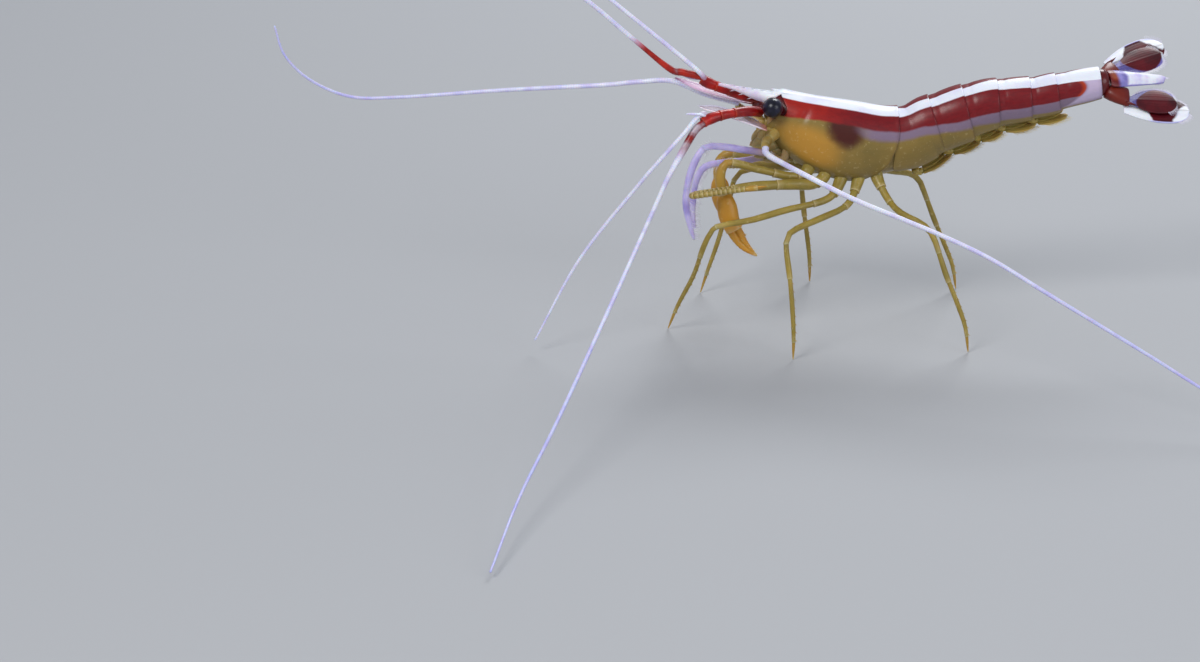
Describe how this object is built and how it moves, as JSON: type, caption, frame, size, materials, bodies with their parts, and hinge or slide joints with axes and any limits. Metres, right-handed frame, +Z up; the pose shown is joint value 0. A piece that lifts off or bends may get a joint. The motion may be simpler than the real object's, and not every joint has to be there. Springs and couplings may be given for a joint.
{
  "type": "cleaner shrimp",
  "caption": "Life-size still figure of a cleaner shrimp standing on its slender legs, with long sweeping feelers, small pincers and a spread tail fan.",
  "frame": {"origin": "middle of the base of the whole outline, feelers included, on the floor the feet stand on", "axes": "+Z up; the head points along -X and the shrimp's left side faces -Y"},
  "size_m": [0.1176, 0.0893, 0.0572],
  "materials": {
    "red_shell": "smooth thin shell, softly glossy, with a white stripe and clear flanks",
    "white_stripe": "smooth, opaque bluish white",
    "ochre_flesh": "translucent ochre yellow, softly glossy",
    "olive_limb": "translucent olive yellow, softly glossy",
    "lilac_limb": "translucent lilac white, softly glossy",
    "eye": "glossy black"
  },
  "bodies": {
    "root": {"abdomen_1": "red_shell", "abdomen_2": "red_shell", "abdomen_3": "red_shell", "abdomen_4": "red_shell", "abdomen_5": "red_shell", "abdomen_6": "red_shell", "antenna_base_left": "ochre_flesh", "antenna_base_right": "ochre_flesh", "antenna_left": "lilac_limb", "antenna_right": "lilac_limb", "antenna_scale_left": "lilac_limb", "antenna_scale_right": "lilac_limb", "antennule_inner_left": "lilac_limb", "antennule_inner_right": "lilac_limb", "antennule_left": "red_shell", "antennule_outer_left": "lilac_limb", "antennule_outer_right": "lilac_limb", "antennule_right": "red_shell", "carapace": "red_shell", "claw_left": "olive_limb", "claw_right": "olive_limb", "eye_left": "eye", "eye_right": "eye", "eyestalk_left": "red_shell", "eyestalk_right": "red_shell", "leg_1_left": "olive_limb", "leg_1_right": "olive_limb", "leg_2_left": "olive_limb", "leg_2_right": "olive_limb", "leg_3_left": "olive_limb", "leg_3_right": "olive_limb", "leg_4_left": "olive_limb", "leg_4_right": "olive_limb", "leg_5_left": "olive_limb", "leg_5_right": "olive_limb", "maxilliped_left": "lilac_limb", "maxilliped_right": "lilac_limb", "mouthparts": "ochre_flesh", "pleopod_1_left": "ochre_flesh", "pleopod_1_right": "ochre_flesh", "pleopod_2_left": "ochre_flesh", "pleopod_2_right": "ochre_flesh", "pleopod_3_left": "ochre_flesh", "pleopod_3_right": "ochre_flesh", "pleopod_4_left": "ochre_flesh", "pleopod_4_right": "ochre_flesh", "pleopod_5_left": "ochre_flesh", "pleopod_5_right": "ochre_flesh", "rostrum": "white_stripe", "telson": "white_stripe", "uropod_base_left": "red_shell", "uropod_base_right": "red_shell", "uropod_inner_left": "red_shell", "uropod_inner_right": "red_shell", "uropod_outer_left": "red_shell", "uropod_outer_right": "red_shell"}
  },
  "joints": []
}
